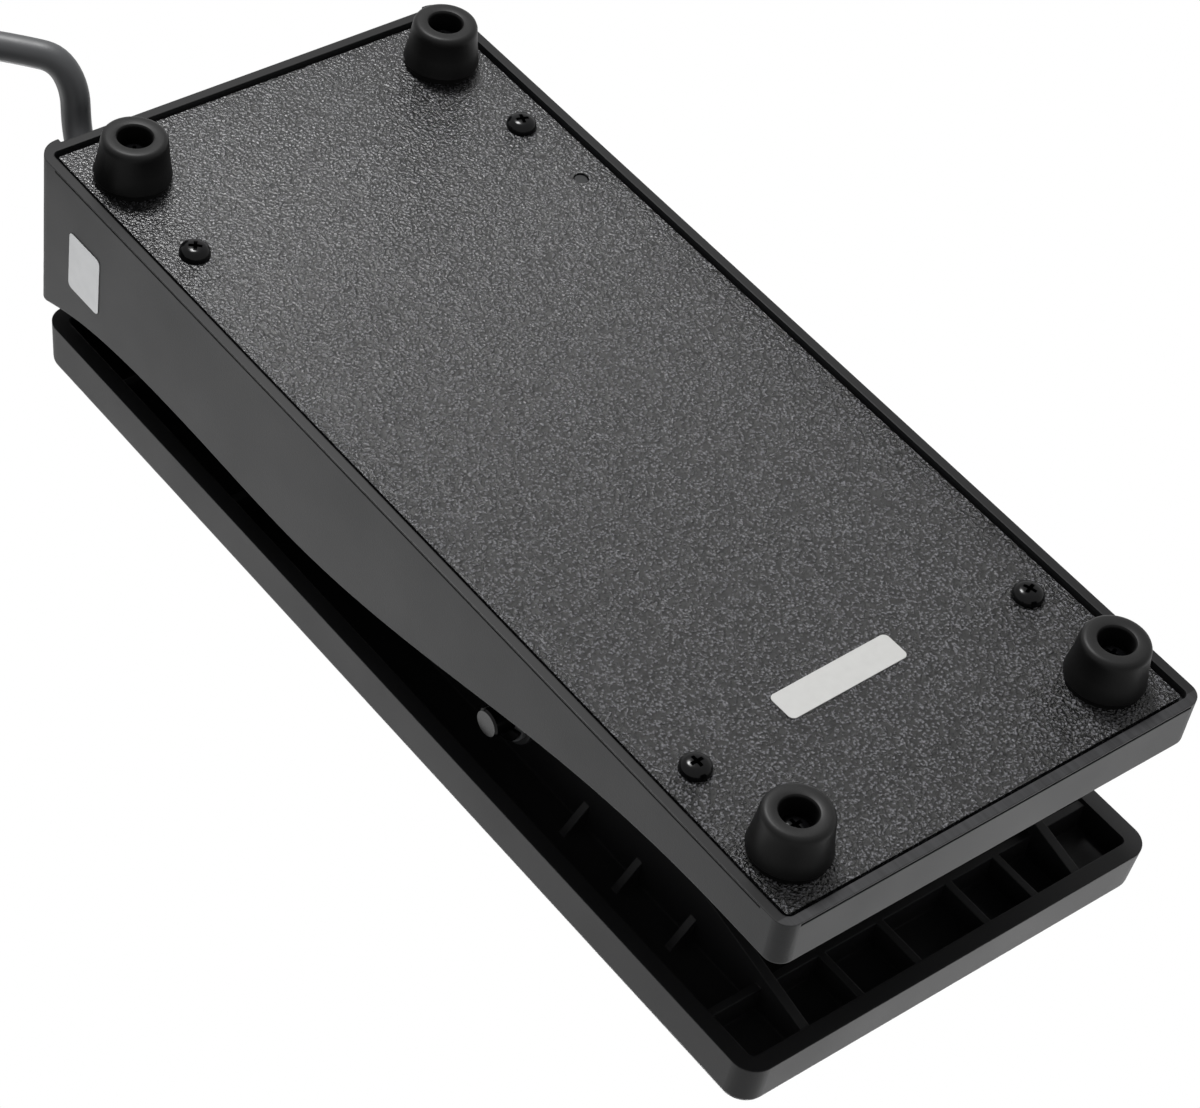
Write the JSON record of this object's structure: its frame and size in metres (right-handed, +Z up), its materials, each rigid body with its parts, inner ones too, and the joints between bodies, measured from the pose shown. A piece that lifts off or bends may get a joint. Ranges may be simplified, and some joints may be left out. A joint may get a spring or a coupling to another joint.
{
  "type": "expression pedal",
  "caption": "Foot pedal: treadle rocking on an axle over a shallow housing on rubber feet, turning a geared potentiometer, with a coiled cable and jack plug.",
  "frame": {"origin": "bottom centre of the pedal's bounding box, without the free cable and plug: the feet stand on z = 0", "axes": "+Z up when the pedal stands on its feet, +Y from heel to toe (the cable leaves at +Y), +X to the player's right"},
  "size_m": [0.1956, 0.2813, 0.0614],
  "materials": {
    "housing_abs": "moulded, fine spark texture",
    "treadle_abs": "moulded, fine spark texture",
    "plate_coat": "black powder coat with leather texture",
    "foot_rubber": "moulded, satin",
    "stop_rubber": "moulded, matte",
    "mat_rubber": "ribbed, matte",
    "axle_black": "black oxide on steel",
    "screw_black": "black zinc, glossy",
    "steel": "turned, bright",
    "zinc": "zinc plated",
    "nylon": "moulded, natural",
    "acetal": "moulded, smooth",
    "brass": "machined",
    "pot_metal": "die cast",
    "phenolic": "pressed board",
    "label_white": "blank self-adhesive film",
    "label_grey": "blank silver-grey film",
    "cable_pvc": "extruded, satin",
    "wire_red": "extruded",
    "wire_white": "extruded",
    "wire_black": "extruded",
    "plug_metal": "nickel plated",
    "tie_strap": "woven hook-and-loop"
  },
  "bodies": {
    "base": {"base_housing": "housing_abs", "bottom_plate": "plate_coat", "plate_screws": "screw_black", "foot_toe_right": "foot_rubber", "foot_toe_left": "foot_rubber", "foot_heel_right": "foot_rubber", "foot_heel_left": "foot_rubber", "foot_washers": "zinc", "foot_screws": "screw_black", "foot_nuts": "zinc", "serial_label": "label_white", "side_label": "label_grey", "hinge_bush_right": "nylon", "hinge_bush_left": "nylon", "pot_bracket": "zinc", "bracket_screws": "zinc", "pot_body": "pot_metal", "pot_wafer": "phenolic", "pot_terminals": "brass", "pot_washer": "zinc", "pot_nut": "zinc", "wire_ground": "wire_black", "wire_wiper": "wire_white", "wire_supply": "wire_red", "cable_grommet": "foot_rubber", "cable_lead_in": "cable_pvc", "cable_clamp": "housing_abs", "clamp_screw": "zinc", "toe_stop_right": "stop_rubber", "heel_stop_right": "stop_rubber", "toe_stop_left": "stop_rubber", "heel_stop_left": "stop_rubber", "cable": "cable_pvc", "cable_tail": "cable_pvc", "cable_coil": "cable_pvc", "coil_tie": "tie_strap", "plug_handle": "cable_pvc", "plug_sleeve": "plug_metal", "plug_insulator_rear": "phenolic", "plug_ring": "plug_metal", "plug_insulator_front": "phenolic", "plug_tip": "plug_metal"},
    "treadle": {"treadle": "treadle_abs", "tread_mat": "mat_rubber", "gear_sector": "acetal", "sector_screws": "zinc", "axle": "axle_black", "axle_clips": "axle_black", "hinge_washers": "nylon"},
    "pot_rotor": {"pot_shaft": "steel", "pot_pinion": "brass", "pot_wiper": "phenolic"}
  },
  "joints": [
    {"name": "treadle_hinge", "type": "hinge", "parent": "base", "child": "treadle", "pos_m": [0, -0.03125, 0.0408], "axis": [1, 0, 0], "range_deg": [0, 18]},
    {"name": "pot_spin", "type": "hinge", "parent": "base", "child": "pot_rotor", "pos_m": [0, 0.01958, 0.02651], "axis": [1, 0, 0], "range_deg": [-190, 10]}
  ],
  "couplings": [
    {"joint": "pot_spin", "follows": "treadle_hinge", "ratio": -10}
  ]
}
